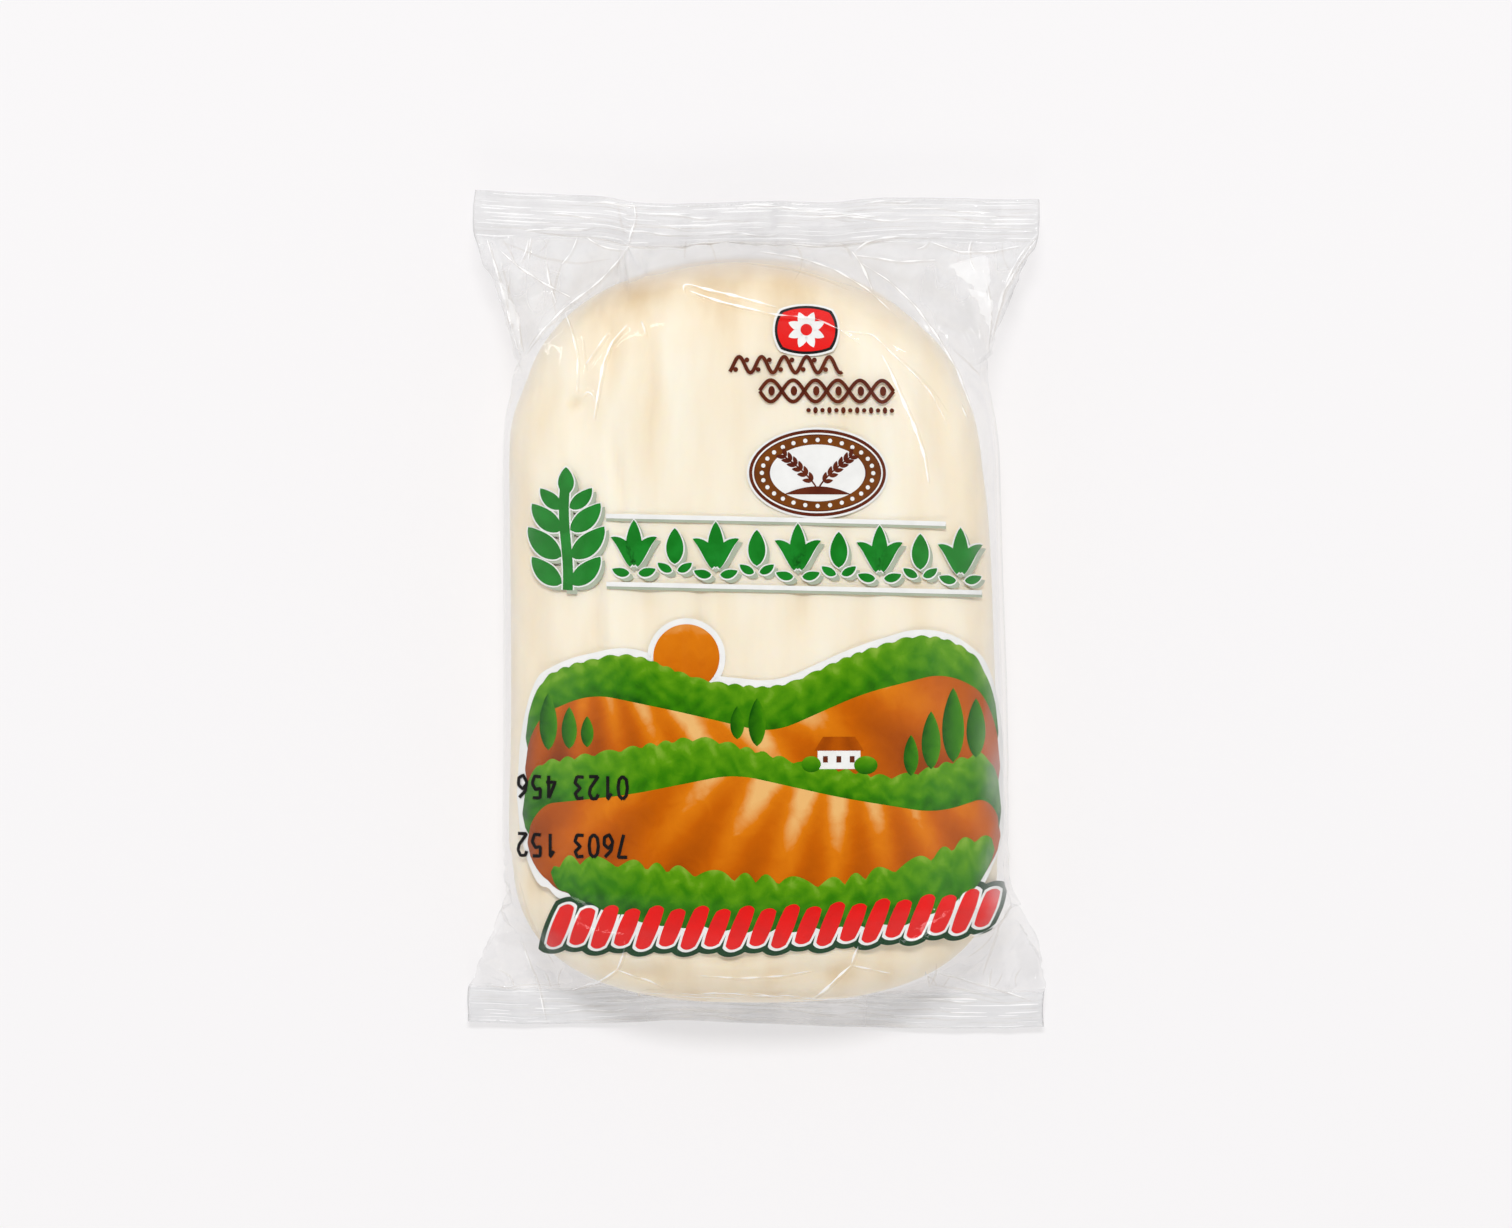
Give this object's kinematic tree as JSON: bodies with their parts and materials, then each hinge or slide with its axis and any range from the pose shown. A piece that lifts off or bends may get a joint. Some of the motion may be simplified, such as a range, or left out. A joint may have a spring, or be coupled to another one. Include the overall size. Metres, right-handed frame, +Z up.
{
  "type": "pack of provola cheese",
  "caption": "Pale, pressed oblong loaf of stretched-curd cheese, sealed in a clear printed flow-wrap film bag with a crimped fin and flared ears at each end, lying on its back.",
  "frame": {"origin": "middle of the pack's footprint, on the surface that it lies on", "axes": "+X across the pack towards the printed face's right, +Y along it towards the fin that is uppermost when the print is read, +Z up out of the printed face"},
  "size_m": [0.1106, 0.16, 0.0353],
  "materials": {
    "film": "clear, thin and crinkled, glossy",
    "cheese": "smooth, pale cream, faintly moist",
    "print_white": "ink on film",
    "print_green": "ink on film",
    "print_leaf": "ink on film",
    "print_gold": "ink on film",
    "print_brown": "ink on film",
    "print_red": "ink on film",
    "print_black": "stamped ink"
  },
  "bodies": {
    "root": {"pack": "film"}
  },
  "joints": []
}
